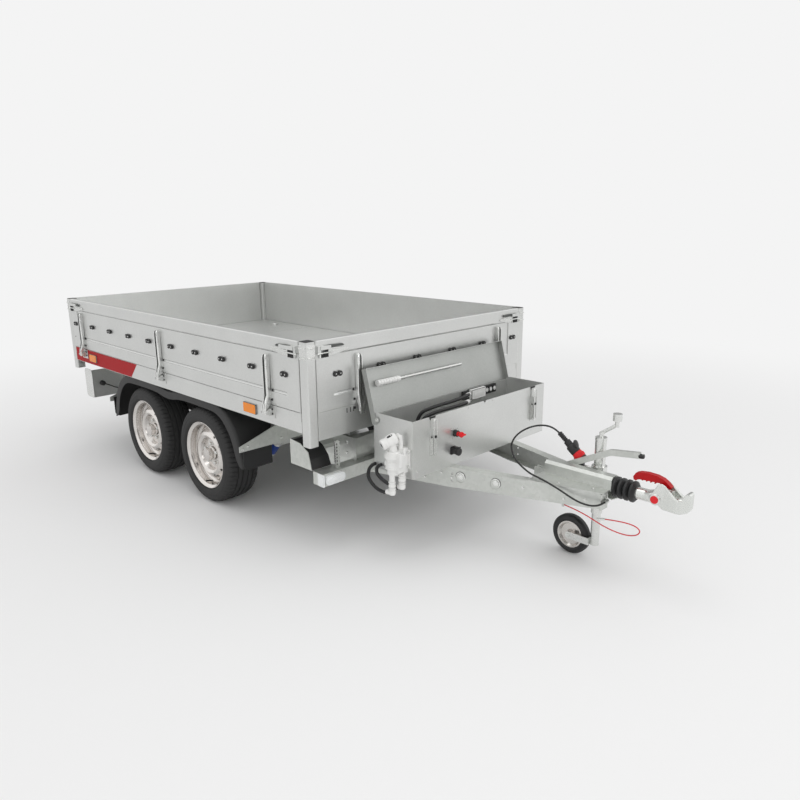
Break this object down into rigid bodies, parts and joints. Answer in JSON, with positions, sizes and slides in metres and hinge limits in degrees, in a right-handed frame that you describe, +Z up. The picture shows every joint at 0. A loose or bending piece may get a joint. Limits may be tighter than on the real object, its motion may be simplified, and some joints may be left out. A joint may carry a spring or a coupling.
{
  "type": "tandem-axle tipping trailer",
  "caption": "Galvanised tandem-axle car trailer whose flat bed with drop sides tips backwards on a telescopic cylinder, with drawbar tool box, hand pump, ball coupling and jockey wheel.",
  "frame": {"origin": "on the ground under the middle of the whole trailer", "axes": "+X forward to the coupling, +Y to the left, +Z up"},
  "size_m": [3.914, 1.624, 0.987],
  "materials": {
    "galvanised": "hot-dip galvanised sheet with a soft spangle",
    "steel": "bright zinc-plated and ground steel",
    "cast": "zinc-plated casting",
    "wheel_steel": "silver painted pressed steel",
    "tyre": "black tyre rubber",
    "black_plastic": "matt black moulded plastic",
    "rubber": "black rubber",
    "white_paint": "white painted casting",
    "amber": "amber reflector",
    "white_lamp": "clear marker lamp over white",
    "red_plastic": "red moulded plastic",
    "red_cord": "red coated wire rope"
  },
  "bodies": {
    "chassis": {"axle_front": "galvanised", "axle_rear": "galvanised", "battery_switch": "red_plastic", "bellows": "rubber", "box_socket": "black_plastic", "breakaway_rope": "red_cord", "carabiner": "steel", "chassis_rail_left": "galvanised", "chassis_rail_right": "galvanised", "control_unit": "black_plastic", "coupling_handle": "red_plastic", "coupling_head": "cast", "cross_members": "galvanised", "drawbar_beam_left": "galvanised", "drawbar_beam_right": "galvanised", "front_lamp_bar": "galvanised", "front_lamps": "white_lamp", "hand_pump": "white_paint", "handbrake_lever": "steel", "jockey_tube": "galvanised", "light_bar": "galvanised", "mud_flaps": "rubber", "mudguard_brackets": "galvanised", "mudguard_left": "black_plastic", "mudguard_right": "black_plastic", "overrun_housing": "galvanised", "plug_holder": "black_plastic", "power_cable": "rubber", "power_plug": "red_plastic", "pump_hoses": "rubber", "shock_absorbers": "steel", "tail_lamps": "black_plastic", "tip_bracket": "galvanised", "tool_box": "galvanised", "wheel_chocks": "black_plastic"},
    "bed": {"bed_floor": "galvanised", "bed_frame": "galvanised", "corner_posts": "galvanised", "front_board": "galvanised", "side_reflectors": "amber"},
    "board_right_body": {"board_right": "galvanised"},
    "board_left_body": {"board_left": "galvanised"},
    "tailgate_body": {"tailgate": "galvanised"},
    "lid": {"tool_box_lid": "galvanised", "pump_handle": "black_plastic"},
    "barrel": {"cylinder_barrel": "steel"},
    "stage_1": {"cylinder_stage_1": "steel"},
    "stage_2": {"cylinder_stage_2": "steel"},
    "stage_3": {"cylinder_stage_3": "steel"},
    "wheel_front_right": {"rim_front_right": "wheel_steel", "tyre_front_right": "tyre"},
    "wheel_front_left": {"rim_front_left": "wheel_steel", "tyre_front_left": "tyre"},
    "wheel_rear_right": {"rim_rear_right": "wheel_steel", "tyre_rear_right": "tyre"},
    "wheel_rear_left": {"rim_rear_left": "wheel_steel", "tyre_rear_left": "tyre"},
    "jockey_swivel": {"jockey_fork": "galvanised"},
    "jockey_wheel": {"jockey_rim": "wheel_steel", "jockey_tyre": "tyre"}
  },
  "joints": [
    {"name": "bed_tilt", "type": "hinge", "parent": "chassis", "child": "bed", "pos_m": [-1.875, 0, 0.54], "axis": [0, -1, 0], "range_deg": [0, 45]},
    {"name": "board_right_drop", "type": "hinge", "parent": "bed", "child": "board_right_body", "pos_m": [-0.664, -0.801, 0.64], "axis": [1, 0, 0], "range_deg": [0, 175]},
    {"name": "board_left_drop", "type": "hinge", "parent": "bed", "child": "board_left_body", "pos_m": [-0.664, 0.801, 0.64], "axis": [-1, 0, 0], "range_deg": [0, 175]},
    {"name": "tailgate_swing", "type": "hinge", "parent": "bed", "child": "tailgate_body", "pos_m": [-1.9305, 0, 0.96], "axis": [0, 1, 0], "range_deg": [0, 90]},
    {"name": "lid_hinge", "type": "hinge", "parent": "chassis", "child": "lid", "pos_m": [0.739, 0, 0.617], "axis": [0, 1, 0], "range_deg": [0, 105]},
    {"name": "cylinder_swing", "type": "hinge", "parent": "chassis", "child": "barrel", "pos_m": [-0.715, 0, 0.33], "axis": [0, -1, 0], "range_deg": [0, 65.1]},
    {"name": "stage_1_slide", "type": "slide", "parent": "barrel", "child": "stage_1", "axis": [0.8936, 0, 0.4489], "range_m": [0, 0.2861]},
    {"name": "stage_2_slide", "type": "slide", "parent": "stage_1", "child": "stage_2", "axis": [0.8936, 0, 0.4489], "range_m": [0, 0.2861]},
    {"name": "stage_3_slide", "type": "slide", "parent": "stage_2", "child": "stage_3", "axis": [0.8936, 0, 0.4489], "range_m": [0, 0.2861]},
    {"name": "wheel_front_right_spin", "type": "hinge", "parent": "chassis", "child": "wheel_front_right", "pos_m": [-0.339, -0.67, 0.2625], "axis": [0, 1, 0], "continuous": true},
    {"name": "wheel_front_left_spin", "type": "hinge", "parent": "chassis", "child": "wheel_front_left", "pos_m": [-0.339, 0.67, 0.2625], "axis": [0, 1, 0], "continuous": true},
    {"name": "wheel_rear_right_spin", "type": "hinge", "parent": "chassis", "child": "wheel_rear_right", "pos_m": [-0.998, -0.67, 0.2625], "axis": [0, 1, 0], "continuous": true},
    {"name": "wheel_rear_left_spin", "type": "hinge", "parent": "chassis", "child": "wheel_rear_left", "pos_m": [-0.998, 0.67, 0.2625], "axis": [0, 1, 0], "continuous": true},
    {"name": "jockey_turn", "type": "hinge", "parent": "chassis", "child": "jockey_swivel", "pos_m": [1.52, 0.078, 0.092], "axis": [0, 0, 1], "continuous": true},
    {"name": "jockey_spin", "type": "hinge", "parent": "jockey_swivel", "child": "jockey_wheel", "pos_m": [1.404, 0.078, 0.092], "axis": [0, 1, 0], "continuous": true}
  ],
  "couplings": [
    {"joint": "cylinder_swing", "follows": "bed_tilt", "ratio": 1.4453},
    {"joint": "stage_1_slide", "follows": "bed_tilt", "m_per_rad": 0.36412},
    {"joint": "stage_2_slide", "follows": "bed_tilt", "m_per_rad": 0.36412},
    {"joint": "stage_3_slide", "follows": "bed_tilt", "m_per_rad": 0.36412}
  ]
}
